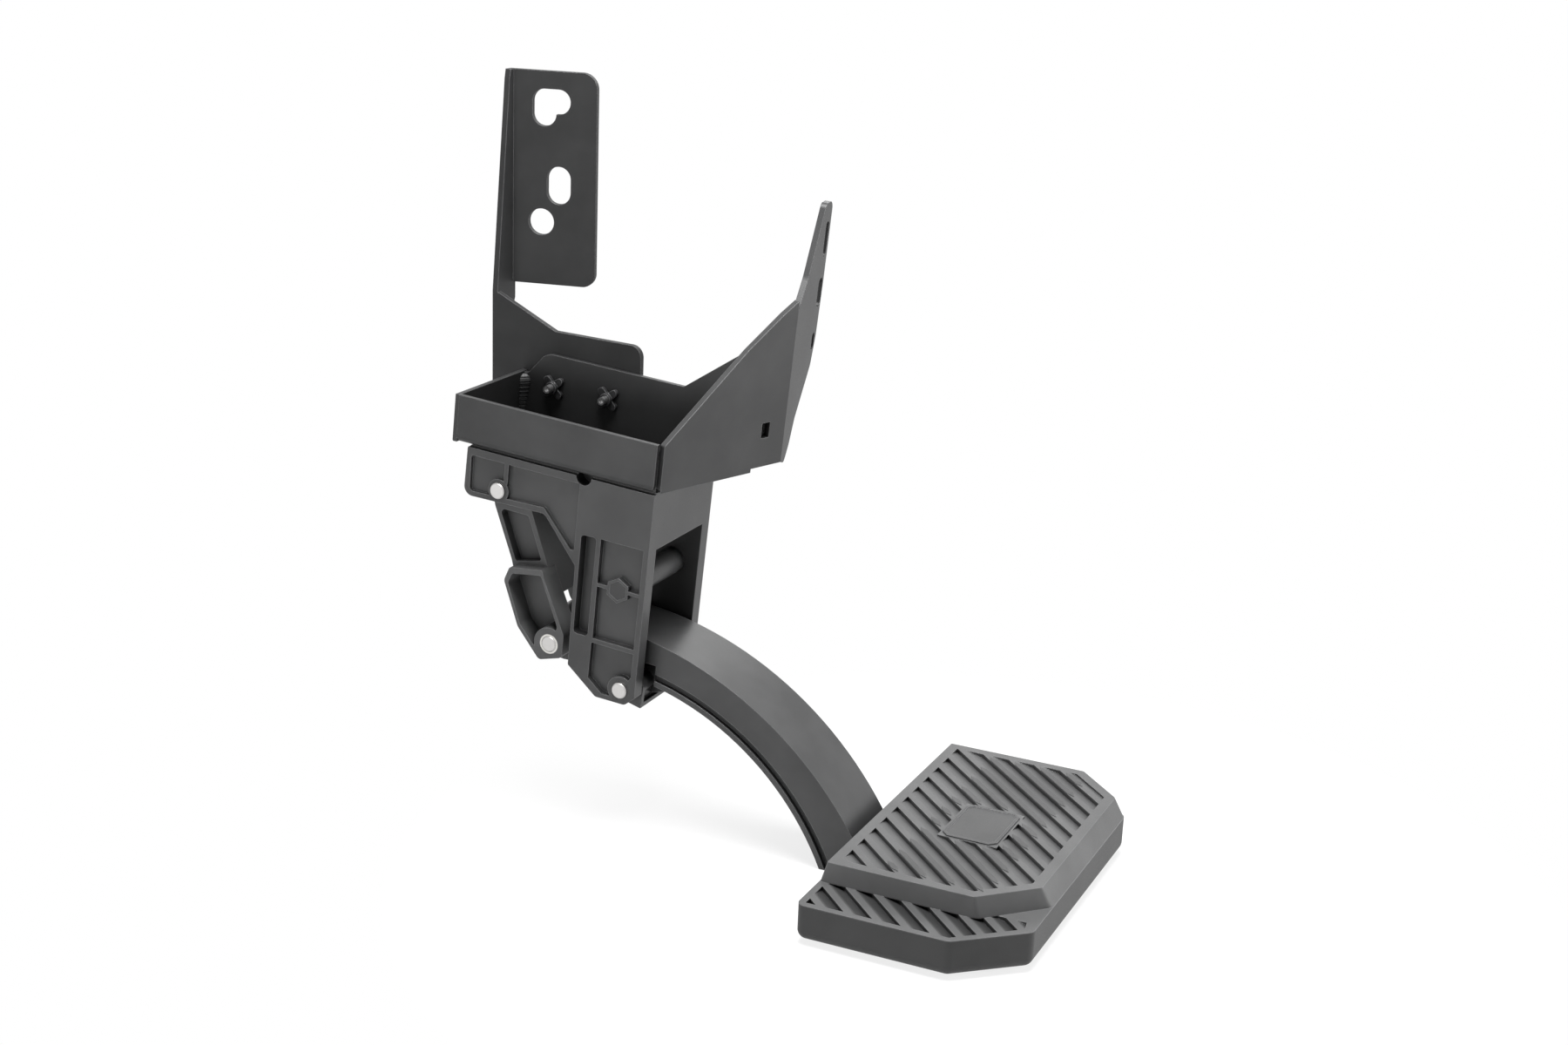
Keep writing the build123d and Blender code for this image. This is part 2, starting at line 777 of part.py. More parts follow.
with BuildPart() as rocker:
    with BuildSketch(cast_at(0)):
        with BuildLine():
            FilletPolyline(
                (pin_b_at[0] - 10.5, pin_b_at[1] + 8.0),
                (rocker_face, pin_b_at[1] + 6.5),
                (rocker_face, -170.0),
                (-13.0, -167.5),
                (pin_b_at[0] - 12.0, -160.0),
                radius=(7.0, 7.0, 1.0, 4.0, 6.0),
                close=True,
            )
        make_face()
    extrude(amount=link_half, both=True)
    for side in (-1, 1):
        with BuildSketch(cast_end(rocker_face)):
            with Locations((side * 18.0, -161.0)):
                Rectangle(27.0, 10.0)
        extrude(amount=-3.0, mode=Mode.SUBTRACT)
    with BuildSketch(cast_at(0)):
        with BuildLine():
            Polyline(
                (pin_b_at[0] - 4.0, pin_b_at[1] + 8.5),
                (pin_d_at[0] - 2.0, pin_d_at[1] + 6.1),
                (pin_d_at[0] + 3.0, pin_d_at[1] - 5.8),
                (rocker_face, -163.0),
                (pin_b_at[0], -162.0),
                close=True,
            )
        make_face()
        with Locations(pin_d_at):
            Circle(rocker_eye)
    extrude(amount=rocker_tongue / 2, both=True)
    with BuildSketch(cast_at(0)):
        with Locations(pin_b_at):
            Circle(bush_outer + seat_gap)
        with Locations(pin_d_at):
            Circle(pin_d_radius + seat_gap)
    extrude(amount=link_half, both=True, mode=Mode.SUBTRACT)
rocker.part.label = "rocker"

with BuildPart() as rocker_bushes:
    for start in (-link_half, link_half - rocker_bush):
        add(ring(pin_b_at, pin_radius + run_gap, bush_outer, start, rocker_bush))
rocker_bushes.part.label = "rocker_bushes"

arm_inner = arm_width / 2 - arm_side
seat_depth = arm_side - 2.5
with BuildPart() as pin_d:
    add(pin(pin_d_at, pin_d_radius, -arm_inner - seat_depth + 1.0, 2 * (arm_inner + seat_depth - 1.0)))
pin_d.part.label = "pin_d"

# Arm: hollow crescent, root tongue and mounting plate

foot_left = leaning(270.0, arm_foot)
foot_right = leaning(352.0, arm_foot)
plate_top = pad_top - pad_ledge - ledge_shell - face_gap
plate_left = 326.0
plate_right = pad_right - 14.0

with BuildPart() as step_arm:
    with BuildSketch(cast_at(0)):
        with Locations(arm_top_center):
            Circle(arm_top_radius)
        with Locations(lip_center):
            Circle(lip_radius, mode=Mode.SUBTRACT)
        with BuildLine():
            Polyline(
                (arm_root, -100),
                (arm_root, -141.0),
                (-30.0, -136.5),
                (lip_start[0], -136.5),
                (lip_start[0], -160),
                (60.0, -260),
                foot_left,
                foot_right,
                (220.0, -150),
                close=True,
            )
        make_face(mode=Mode.INTERSECT)
    extrude(amount=arm_width / 2, both=True)
    with BuildSketch(cast_at(0)):
        with Locations(arm_top_center):
            Circle(arm_top_radius - arm_skin)
        with BuildLine():
            Polyline((arm_root + 6, -100), (arm_root + 6, -300), (122, -300), (122, -100), close=True)
        make_face(mode=Mode.INTERSECT)
    extrude(amount=arm_inner, both=True, mode=Mode.SUBTRACT)
    with BuildSketch(cast_at(0)):
        with BuildLine():
            Polyline(
                (pin_c_at[0], pin_c_at[1] + arm_eye),
                (arm_root + 5, -116.4),
                (arm_root + 5, -141.0),
                (pin_c_at[0] + 0.7 * arm_eye, pin_c_at[1] - 0.7 * arm_eye),
                close=True,
            )
        make_face()
        with Locations(pin_c_at):
            Circle(arm_eye)
    extrude(amount=arm_tongue / 2, both=True)
    for side in (-1, 1):
        with BuildSketch(cast_at(side * arm_width / 2)):
            with Locations(lip_center):
                Circle(lip_radius + lip_thick + lip_groove)
                Circle(lip_radius + lip_thick, mode=Mode.SUBTRACT)
            with BuildLine():
                Polyline((2, -100), (300, -100), (300, -420), (2, -420), close=True)
            make_face(mode=Mode.INTERSECT)
        extrude(amount=side * groove_depth, mode=Mode.SUBTRACT)
        with BuildSketch(cast_at(side * arm_inner)):
            with Locations((pin_d_at[0] + 0.4, pin_d_at[1] - 0.3)):
                SlotOverall(
                    pin_d_travel + 2 * (pin_d_radius + pin_d_side),
                    2 * (pin_d_radius + pin_d_side),
                    rotation=56,
                )
        extrude(amount=-side * seat_depth, mode=Mode.SUBTRACT)
    for x in (84.0, 108.0):
        with BuildSketch(cast_at(0)):
            with Locations(arm_top_center):
                Circle(arm_top_radius - arm_skin + 1)
            with Locations(lip_center):
                Circle(lip_radius + lip_thick, mode=Mode.SUBTRACT)
            with BuildLine():
                Polyline((x, -100), (x + 5, -100), (x + 5, -300), (x, -300), close=True)
            make_face(mode=Mode.INTERSECT)
        extrude(amount=arm_inner + 1, both=True)
    with BuildSketch(Plane.XY.offset(plate_top)):
        with Locations(((plate_left + plate_right) / 2, mid_y)):
            RectangleRounded(plate_right - plate_left, 150.0, 8.0)
        with Locations((plate_left, mid_y)):
            Rectangle(24.0, 150.0, mode=Mode.SUBTRACT)
            Rectangle(30.0, arm_width)
    extrude(amount=-plate_thick)
    for side in (-1, 1):
        with BuildSketch(side_at(side * 20)):
            with BuildLine():
                Polyline(
                    (330.0, plate_top - 1),
                    (425.0, plate_top - 1),
                    (425.0, plate_top - plate_thick - 2),
                    (372.0, arm_foot + 4),
                    (340.0, arm_foot),
                    (330.0, arm_foot),
                    close=True,
                )
            make_face()
        extrude(amount=3.0, both=True)
    with BuildSketch(cast_at(0)):
        with Locations(pin_c_at):
            Circle(bush_outer + seat_gap)
    extrude(amount=arm_tongue, both=True, mode=Mode.SUBTRACT)
    pad_bolt_x = (plate_left + 36.0, plate_right - 16.0)
    pad_bolt_y = 58.0
    with BuildSketch(Plane.XY.offset(plate_top)):
        for x in pad_bolt_x:
            with Locations((x, mid_y - pad_bolt_y), (x, mid_y + pad_bolt_y)):
                Circle(pad_bolt_radius + bolt_gap)
    extrude(amount=-plate_thick, mode=Mode.SUBTRACT)
step_arm.part.label = "step_arm"

with BuildPart() as arm_bush:
    bush_length = link_back + link_foot_back - 2 * face_gap
    add(ring(pin_c_at, pin_radius + run_gap, bush_outer, face_gap - link_back, bush_length))
arm_bush.part.label = "arm_bush"

# Pad: raised treaded block on a wider skirt with a treaded ledge at the near end

block_points = (
    (pad_left, pad_near),
    (pad_right - pad_corner, pad_near),
    (pad_right, pad_near + pad_corner),
    (pad_right, pad_far - pad_corner),
    (pad_right - pad_corner, pad_far),
    (pad_left, pad_far),
)
skirt_points = (
    (pad_left - skirt_left, pad_near - skirt_near),
    (pad_right - pad_corner - 1.5, pad_near - skirt_near),
    (pad_right + skirt_side, pad_near + pad_corner - skirt_near + skirt_side / 2),
    (pad_right + skirt_side, pad_far - pad_corner + skirt_side / 2),
    (pad_right - pad_corner + skirt_side / 2, pad_far + skirt_side),
    (pad_left - skirt_left, pad_far + skirt_side),
)
foot_side = skirt_side - skirt_inset
block_foot_points = (
    (pad_left - skirt_left + skirt_inset, pad_near - block_draft),
    (pad_right - pad_corner + foot_side / 2, pad_near - block_draft),
    (pad_right + foot_side, pad_near + pad_corner + foot_side / 2),
    (pad_right + foot_side, pad_far - pad_corner + foot_side / 2),
    (pad_right - pad_corner + foot_side / 2, pad_far + foot_side),
    (pad_left - skirt_left + skirt_inset, pad_far + foot_side),
)
ledge_z = pad_top - pad_ledge
pad_base = pad_top - pad_height


def tread_cutter(outline, border, top, plain):
    """Saw-tooth grooves at an angle, kept inside an outline by a flat border and off plain panels."""
    reach = pad_far - pad_near
    count = int(reach / tread_pitch)
    along = (cos(radians(tread_angle)), sin(radians(tread_angle)))
    face = Plane(
        origin=(pad_right - tread_border - along[0] * reach, tread_phase - along[1] * reach, top),
        x_dir=(-along[1], along[0], 0),
        z_dir=(along[0], along[1], 0),
    )
    with BuildPart() as cutter:
        with BuildSketch(face):
            for n in range(-count, count + 1):
                with BuildLine():
                    Polyline(
                        (n * tread_pitch, 0),
                        (n * tread_pitch, -tread_depth),
                        (n * tread_pitch - tread_slope, 0),
                        close=True,
                    )
                make_face()
        extrude(amount=2 * reach)
        with BuildSketch(Plane.XY.offset(top - 2 * tread_depth)):
            with BuildLine():
                Polyline(*outline, close=True)
            make_face()
            offset(amount=-border, kind=Kind.INTERSECTION)
            for at, size in plain:
                with Locations(at):
                    Rectangle(*size, mode=Mode.SUBTRACT)
        extrude(amount=4 * tread_depth, mode=Mode.INTERSECT)
    return cutter.part


ledge_points = (
    (pad_left - skirt_left, pad_near - skirt_near),
    (pad_right - pad_corner - 1.5, pad_near - skirt_near),
    (pad_right + skirt_side - 1.0, pad_near + pad_corner - skirt_near + skirt_side / 2),
    (pad_right + 3.0, pad_near + 15.0),
    (pad_left - skirt_left, pad_near + 15.0),
)
block_tread = tread_cutter(block_points, tread_border, pad_top, [(panel_at, panel_size)])
ledge_tread = tread_cutter(ledge_points, 5.0, ledge_z, [])

with BuildPart() as step_pad:
    with BuildSketch(Plane.XY.offset(ledge_z)):
        with BuildLine():
            FilletPolyline(*skirt_points, radius=(6.0, 8.0, 8.0, 10.0, 10.0, 6.0), close=True)
        make_face()
    extrude(amount=-(pad_height - pad_ledge))
    fillet(step_pad.faces().sort_by(Axis.Z)[0].edges(), 7.0)
    add(ledge_tread, mode=Mode.SUBTRACT)
    with BuildSketch(Plane.XY.offset(pad_top)):
        with BuildLine():
            FilletPolyline(*block_points, radius=(1.0, 3.0, 3.0, 4.0, 4.0, 1.0), close=True)
        make_face()
    with BuildSketch(Plane.XY.offset(ledge_z)):
        with BuildLine():
            FilletPolyline(*block_foot_points, radius=(2.0, 8.0, 8.0, 10.0, 10.0, 6.0), close=True)
        make_face()
    loft(ruled=True)
    add(block_tread, mode=Mode.SUBTRACT)
    with BuildSketch(Plane.XY.offset(pad_base)):
        with BuildLine():
            Polyline(*skirt_points, close=True)
        make_face()
        offset(amount=-pad_shell - 2.0, kind=Kind.INTERSECTION)
    extrude(amount=pad_height - pad_ledge - ledge_shell, mode=Mode.SUBTRACT)
    with BuildSketch(side_at(0)):
        with Locations((pad_left, pad_base)):
            Rectangle(40.0, 2 * (pad_height - 20.6))
    extrude(amount=arm_width / 2 + face_gap, both=True, mode=Mode.SUBTRACT)
    with BuildSketch(Plane.XY.offset(plate_top + face_gap)):
        for x in pad_bolt_x:
            with Locations((x, mid_y - pad_bolt_y), (x, mid_y + pad_bolt_y)):
                Circle(pad_bolt_radius + seat_gap)
    extrude(amount=10.0, mode=Mode.SUBTRACT)
step_pad.part.label = "step_pad"

with BuildPart() as pad_bolts:
    bolt_seat = plate_top - plate_thick - washer_thick
    for x in pad_bolt_x:
        for y in (mid_y - pad_bolt_y, mid_y + pad_bolt_y):
            with BuildSketch(Plane.XY.offset(bolt_seat)):
                with Locations((x, y)):
                    RegularPolygon(pad_bolt_radius * 1.6, 6, major_radius=False)
            extrude(amount=-pad_bolt_radius)
            with BuildSketch(Plane.XY.offset(bolt_seat)):
                with Locations((x, y)):
                    Circle(pad_bolt_radius)
            extrude(amount=plate_thick + washer_thick + 8.0)
pad_bolts.part.label = "pad_bolts"

with BuildPart() as pad_washers:
    for x in pad_bolt_x:
        for y in (mid_y - pad_bolt_y, mid_y + pad_bolt_y):
            with BuildSketch(Plane.XY.offset(plate_top - plate_thick)):
                with Locations((x, y)):
                    Circle(pad_bolt_radius * 2)
                    Circle(pad_bolt_radius + seat_gap, mode=Mode.SUBTRACT)
            extrude(amount=-washer_thick)
pad_washers.part.label = "pad_washers"

for piece in (
    housing,
    pin_a,
    pin_b,
    pin_rings,
    thrust_washers,
    stop_sleeve,
    cross_bolt,
    cross_nut,
    tray,
    cage_nut,
    tray_screws,
    tray_washers,
    frame_bracket,
    bracket_studs,
    lobed_nuts,
    stud_washers,
    stud_nuts,
    inboard_link,
    link_bushes,
    pin_c,
    rocker,
    rocker_bushes,
    pin_d,
    step_arm,
    arm_bush,
    step_pad,
    pad_bolts,
    pad_washers,
):
    export_step(piece.part, f"parts/{piece.part.label}.step")
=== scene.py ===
import json
from math import cos, radians, sin

import bpy
from mathutils import Matrix, Vector


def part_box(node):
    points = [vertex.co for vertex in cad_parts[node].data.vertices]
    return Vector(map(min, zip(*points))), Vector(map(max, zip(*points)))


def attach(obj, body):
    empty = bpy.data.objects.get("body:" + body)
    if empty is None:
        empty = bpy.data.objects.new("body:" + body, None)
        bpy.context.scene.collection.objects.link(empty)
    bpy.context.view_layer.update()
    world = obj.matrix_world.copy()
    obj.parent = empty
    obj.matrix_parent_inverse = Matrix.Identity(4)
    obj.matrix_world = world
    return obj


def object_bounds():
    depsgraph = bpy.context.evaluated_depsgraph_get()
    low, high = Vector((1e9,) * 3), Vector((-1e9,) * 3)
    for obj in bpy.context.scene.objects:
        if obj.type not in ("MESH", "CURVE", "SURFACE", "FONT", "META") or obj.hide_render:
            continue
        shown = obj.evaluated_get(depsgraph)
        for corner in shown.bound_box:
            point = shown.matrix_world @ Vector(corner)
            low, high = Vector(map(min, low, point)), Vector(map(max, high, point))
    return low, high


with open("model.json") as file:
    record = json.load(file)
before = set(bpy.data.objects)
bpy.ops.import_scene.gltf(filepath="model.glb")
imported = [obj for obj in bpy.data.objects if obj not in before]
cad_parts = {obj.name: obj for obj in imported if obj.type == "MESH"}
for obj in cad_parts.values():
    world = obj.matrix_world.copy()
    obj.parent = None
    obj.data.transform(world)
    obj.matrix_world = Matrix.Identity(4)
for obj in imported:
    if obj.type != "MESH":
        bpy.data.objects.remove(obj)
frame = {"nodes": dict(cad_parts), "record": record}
cad_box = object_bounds()
nodes = frame["nodes"]

# The camera stands where the photograph was taken from
camera_place = (0.8701, -1.4692, 0.2975)
camera_right = (0.90658, 0.42021, 0.03920)
camera_down = (0.15884, -0.25367, -0.95416)
camera_forward = (-0.39101, 0.87125, -0.29671)
camera_lens = 52.0
camera_sensor = 36.0

# Coats: lengths in metres, colours as they are written
# near-black painted shade, for hollows and crevices and for the fastener's and weld's sharp
# edges
painted_shade_black = (0.002, 0.002, 0.002)
# painted highlight laid on the coats' sharp edges
painted_edge_highlight = (0.26, 0.26, 0.265)
metal_seam = (0.01, 0.01, 0.01)
bevel_samples = 4
hollow_samples = 6
mottling_scale = 22.0
coat_edge_radius = 0.0009
coat_edge_strength = 0.45
metal_edge_radius = 0.0006
metal_edge_strength = 0.9
tool_mark_scale = 4500.0
tool_mark_height = 0.000004
tool_mark_wear = 0.88
ledge_z = -0.395        # below this height the pad's skirt, smoother than the treaded block above it, takes painted shade
ledge_blend = 0.001
skirt_shade = 0.36


def node_tree(material):
    """The node tree of a material, left with its Principled shader and output."""
    material.use_nodes = True
    tree = material.node_tree
    tree.nodes.clear()
    shader = tree.nodes.new("ShaderNodeBsdfPrincipled")
    output = tree.nodes.new("ShaderNodeOutputMaterial")
    tree.links.new(shader.outputs["BSDF"], output.inputs["Surface"])
    return tree, shader


def object_noise(tree, scale, detail=3.0, roughness=0.55):
    """Noise in the object's own metres, so grain keeps its real size."""
    place = tree.nodes.new("ShaderNodeTexCoord")
    noise = tree.nodes.new("ShaderNodeTexNoise")
    noise.inputs["Scale"].default_value = scale
    noise.inputs["Detail"].default_value = detail
    noise.inputs["Roughness"].default_value = roughness
    tree.links.new(place.outputs["Object"], noise.inputs["Vector"])
    return noise


def ramp(tree, source, low, high, low_value, high_value):
    """Maps a stretch of a 0 to 1 value to a new range."""
    node = tree.nodes.new("ShaderNodeMapRange")
    node.inputs["From Min"].default_value = low
    node.inputs["From Max"].default_value = high
    node.inputs["To Min"].default_value = low_value
    node.inputs["To Max"].default_value = high_value
    tree.links.new(source, node.inputs["Value"])
    return node.outputs["Result"]


def mix_colour(tree, factor, dark, light):
    """A colour between two, each a plain colour or another node's output."""
    node = tree.nodes.new("ShaderNodeMix")
    node.data_type = "RGBA"
    for socket, colour in (("A", dark), ("B", light)):
        if isinstance(colour, tuple):
            node.inputs[socket].default_value = (*colour, 1.0)
        else:
            tree.links.new(colour, node.inputs[socket])
    tree.links.new(factor, node.inputs["Factor"])
    return node.outputs["Result"]


def rounded_normal(tree, radius):
    """The surface's normal with its sharp edges rounded."""
    bevel = tree.nodes.new("ShaderNodeBevel")
    bevel.samples = bevel_samples
    bevel.inputs["Radius"].default_value = radius
    return bevel.outputs["Normal"]


def edge_factor(tree, radius, strength):
    """Is at its strength on a sharp edge and 0 on a flat face."""
    geometry = tree.nodes.new("ShaderNodeNewGeometry")
    dot = tree.nodes.new("ShaderNodeVectorMath")
    dot.operation = "DOT_PRODUCT"
    tree.links.new(rounded_normal(tree, radius), dot.inputs[0])
    tree.links.new(geometry.outputs["Normal"], dot.inputs[1])
    return ramp(tree, dot.outputs["Value"], 0.995, 0.80, 0.0, strength)


def bump_from(tree, noise, height, strength):
    """A bump node that raises the surface by a noise."""
    bump = tree.nodes.new("ShaderNodeBump")
    bump.inputs["Distance"].default_value = height
    bump.inputs["Strength"].default_value = strength
    tree.links.new(noise.outputs["Fac"], bump.inputs["Height"])
    return bump


def darker_below(tree, colour, height, shade):
    """A colour that is darker below a height of the object: painted shade."""
    place = tree.nodes.new("ShaderNodeTexCoord")
    split = tree.nodes.new("ShaderNodeSeparateXYZ")
    tree.links.new(place.outputs["Object"], split.inputs["Vector"])
    scale = tree.nodes.new("ShaderNodeVectorMath")
    scale.operation = "SCALE"
    tree.links.new(colour, scale.inputs[0])
    share = ramp(tree, split.outputs["Z"], height - ledge_blend, height, shade, 1.0)
    tree.links.new(share, scale.inputs["Scale"])
    return scale.outputs["Vector"]


def coated(
    name, dark, light, roughness, grain_scale, grain_height,
    edge_radius=coat_edge_radius, edge_light=painted_edge_highlight,
    hollow_reach=0.06, hollow_open=0.65, gloss=0.32, painted_shade_below=None,
):
    """Powder coat: fine orange-peel grain and slight mottling, with painted highlights on sharp
    edges and painted shade in hollows.
    """
    material = bpy.data.materials.new(name)
    tree, shader = node_tree(material)
    mottling = object_noise(tree, mottling_scale)
    mottled = ramp(tree, mottling.outputs["Fac"], 0.35, 0.65, 0.0, 1.0)
    colour = mix_colour(tree, mottled, dark, light)
    # Painted shade: the colour goes darker below the given height
    if painted_shade_below is not None:
        colour = darker_below(tree, colour, painted_shade_below, skirt_shade)
    # Sharp edges take edge_light: a painted highlight by default, painted shade on the fastener
    # and weld coats
    edge = edge_factor(tree, edge_radius, coat_edge_strength)
    colour = mix_colour(tree, edge, colour, edge_light)
    # Painted shade: the coat goes near-black where ambient occlusion finds a hollow or crevice
    hollow = tree.nodes.new("ShaderNodeAmbientOcclusion")
    hollow.samples = hollow_samples
    hollow.inputs["Distance"].default_value = hollow_reach
    openness = ramp(tree, hollow.outputs["AO"], 0.15, hollow_open, 0.05, 1.0)
    colour = mix_colour(tree, openness, painted_shade_black, colour)
    tree.links.new(colour, shader.inputs["Base Color"])
    grain = object_noise(tree, grain_scale, detail=2.0)
    tree.links.new(
        ramp(tree, grain.outputs["Fac"], 0.3, 0.7, roughness - 0.05, roughness + 0.06),
        shader.inputs["Roughness"],
    )
    bump = bump_from(tree, grain, grain_height, 0.6)
    tree.links.new(rounded_normal(tree, edge_radius), bump.inputs["Normal"])
    tree.links.new(bump.outputs["Normal"], shader.inputs["Normal"])
    shader.inputs["Specular IOR Level"].default_value = gloss
    return material


def metal(name, colour, roughness):
    """Bare or plated metal with fine tool marks and a dark rim."""
    material = bpy.data.materials.new(name)
    tree, shader = node_tree(material)
    marks = object_noise(tree, tool_mark_scale, detail=4.0)
    worn = tuple(c * tool_mark_wear for c in colour)
    marked = ramp(tree, marks.outputs["Fac"], 0.35, 0.7, 0.0, 1.0)
    face = mix_colour(tree, marked, worn, colour)
    rim = edge_factor(tree, metal_edge_radius, metal_edge_strength)
    tree.links.new(mix_colour(tree, rim, face, metal_seam), shader.inputs["Base Color"])
    tree.links.new(
        ramp(tree, marks.outputs["Fac"], 0.3, 0.7, roughness - 0.03, roughness + 0.05),
        shader.inputs["Roughness"],
    )
    bump = bump_from(tree, marks, tool_mark_height, 0.4)
    tree.links.new(bump.outputs["Normal"], shader.inputs["Normal"])
    shader.inputs["Metallic"].default_value = 1.0
    return material


materials = {
    "black_sheet": coated(
        "black_sheet_coat", (0.020, 0.0202, 0.0206), (0.028, 0.0282, 0.0286),
        0.42, 1500.0, 0.00005, hollow_open=0.95,
    ),
    "black_casting": coated(
        "black_casting_coat", (0.030, 0.0302, 0.0306), (0.040, 0.0402, 0.0407),
        0.34, 1300.0, 0.00005,
    ),
    "black_pad": coated(
        "black_pad_coat", (0.050, 0.0503, 0.0508), (0.064, 0.0644, 0.0649),
        0.48, 1900.0, 0.00014, hollow_reach=0.005, painted_shade_below=ledge_z,
    ),
    # Its sharp edges take painted shade, the dark line between a bolt head and its boss
    "black_fastener": coated(
        "black_fastener_coat", (0.02, 0.02, 0.0205), (0.03, 0.03, 0.0305),
        0.34, 2200.0, 0.00003, edge_radius=0.0007, edge_light=painted_shade_black,
    ),
    "black_sleeve": coated(
        "black_sleeve_coat", (0.030, 0.0302, 0.0306), (0.040, 0.0402, 0.0407),
        0.38, 1500.0, 0.00004,
    ),
    "pin_steel": metal("ground_pin_steel", (0.56, 0.55, 0.54), 0.34),
    "bush_bronze": metal("bearing_metal", (0.62, 0.61, 0.58), 0.38),
    "plated_steel": metal("plated_stud_steel", (0.60, 0.60, 0.60), 0.30),
}

# Coats of single nodes, where the photograph shows another shade or gloss
own_coats = {
    "lobed_nuts": coated(
        "dark_lobe_coat", (0.012, 0.012, 0.0125), (0.03, 0.03, 0.031),
        0.30, 1200.0, 0.00006,
    ),
    "frame_bracket": coated(
        "matt_bracket_coat", (0.019, 0.0191, 0.0194), (0.025, 0.0252, 0.0255),
        0.5, 1500.0, 0.00005, hollow_reach=0.01, gloss=0.14,
    ),
    "inboard_link": coated(
        "matt_link_coat", (0.058, 0.0583, 0.0588), (0.070, 0.0704, 0.0709),
        0.42, 1300.0, 0.00005, hollow_reach=0.02, gloss=0.1,
    ),
}

slot_of = {part["node"]: part["material_slot"] for part in frame["record"]["subparts"]}
for name, node in nodes.items():
    node.data.materials.clear()
    node.data.materials.append(own_coats.get(name, materials[slot_of[name]]))


# Pieces that only the scene holds, in millimetres

mm = 0.001


def mesh_piece(name, vertices, faces, body, slot, material):
    """A mesh that rides on a body and takes the material it is given; its slot is not used."""
    mesh = bpy.data.meshes.new(name)
    mesh.from_pydata([tuple(c * mm for c in v) for v in vertices], [], faces)
    mesh.materials.append(material)
    mesh.validate()
    piece = bpy.data.objects.new(name, mesh)
    bpy.context.scene.collection.objects.link(piece)
    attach(piece, body)
    return piece


def stacked_loops(loops):
    """Vertices and faces of a closed form through loops with equally many points."""
    count = len(loops[0])
    vertices = [point for loop in loops for point in loop]
    faces = [tuple(reversed(range(count)))]
    for level in range(len(loops) - 1):
        low = level * count
        for n in range(count):
            after = (n + 1) % count
            faces.append((low + n, low + after, low + count + after, low + count + n))
    faces.append(tuple(range(len(vertices) - count, len(vertices))))
    return vertices, faces


# Plain plate in the middle of the pad
pad_low, pad_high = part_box("step_pad")
pad_top = pad_high[2] / mm
plate_x = (381.5, 422.5)
plate_y = (-91.0, -33.0)
plate_cut = 5.0
plate_sunk = 0.2        # below the pad's top
rim_width = 2.2
rim_height = 1.1
rim_bevel = 0.3
inset_cut = 0.6         # how much a cut corner shrinks for each millimetre inwards

# Darker copy of the pad coat for the plate and the strips: painted shade that makes their flat
# tops darker than the lit slopes of the ribs
tread_shade_coat = coated(
    "painted_shade_tread_coat", (0.028, 0.0282, 0.0285), (0.038, 0.0382, 0.0386),
    0.48, 1900.0, 0.00014, hollow_reach=0.001,
)


def plate_outline(inset, z):
    """A plain rectangle with four equal cut corners, moved inwards, at a height."""
    x0, x1 = plate_x[0] + inset, plate_x[1] - inset
    y0, y1 = plate_y[0] + inset, plate_y[1] - inset
    cut = plate_cut - inset_cut * inset
    return [
        (x0 + cut, y0, z), (x1 - cut, y0, z), (x1, y0 + cut, z), (x1, y1 - cut, z),
        (x1 - cut, y1, z), (x0 + cut, y1, z), (x0, y1 - cut, z), (x0, y0 + cut, z),
    ]


plate_loops = [
    plate_outline(0.0, pad_top - plate_sunk),
    plate_outline(0.0, pad_top + 0.7 * rim_height),
    plate_outline(rim_bevel, pad_top + rim_height),
    plate_outline(rim_width, pad_top + rim_height),
    plate_outline(rim_width + rim_bevel, pad_top + 0.3 * rim_height),
]
mesh_piece("plain_plate", *stacked_loops(plate_loops), "arm", "black_pad", tread_shade_coat)

# Raised strips on the pad's slanted ribs
block_inset = 7.6       # from the pad's box to its treaded block
block_near_inset = 40.5
pad_right = pad_high[0] / mm - block_inset
pad_near = pad_low[1] / mm + block_near_inset
pad_far = pad_high[1] / mm - block_inset
rib_pitch = 14.5
rib_land = 5.0
rib_start = (pad_right - 7.5, -4.6)
rib_numbers = range(-12, 8)
diagonal = sin(radians(45.0))
strip_x = (365.5, 444.5)
strip_y = (pad_near + 10.0, pad_far - 10.0)
strip_half = 2.5
strip_height = 0.5
strip_sunk = 0.1
strip_tip = 6.0
strip_least = 14.0
strip_bevel = 0.5
plate_space = 4.0
corner_limit = 490.0    # of x + y, at the block's far right corner


def rib_stretch(s, x_range, y_range):
    """Where a rib, at s across the ribs, enters and leaves a rectangle."""
    enters = max(
        (x_range[0] - rib_start[0]) / diagonal - s,
        s - (y_range[1] - rib_start[1]) / diagonal,
    )
    leaves = min(
        (x_range[1] - rib_start[0]) / diagonal - s,
        s - (y_range[0] - rib_start[1]) / diagonal,
    )
    return enters, leaves


def strip_spans(s):
    """Stretches along a rib that carry a raised strip, which stops at the plate."""
    start, end = rib_stretch(s, strip_x, strip_y)
    plate_from, plate_to = rib_stretch(
        s,
        (plate_x[0] - plate_space, plate_x[1] + plate_space),
        (plate_y[0] - plate_space, plate_y[1] + plate_space),
    )
    if plate_from >= plate_to:
        return [(start, end)]
    return [(start, min(end, plate_from)), (max(start, plate_to), end)]


def strip_loop(s, start, end, inset, z):
    """Outline of a strip with pointed ends, along a rib."""
    half = strip_half - inset
    outline = (
        (start + inset, 0.0), (start + strip_tip, -half), (end - strip_tip, -half),
        (end - inset, 0.0), (end - strip_tip, half), (start + strip_tip, half),
    )
    return [
        (rib_start[0] + diagonal * (s + w + t), rib_start[1] + diagonal * (s + w - t), z)
        for t, w in outline
    ]


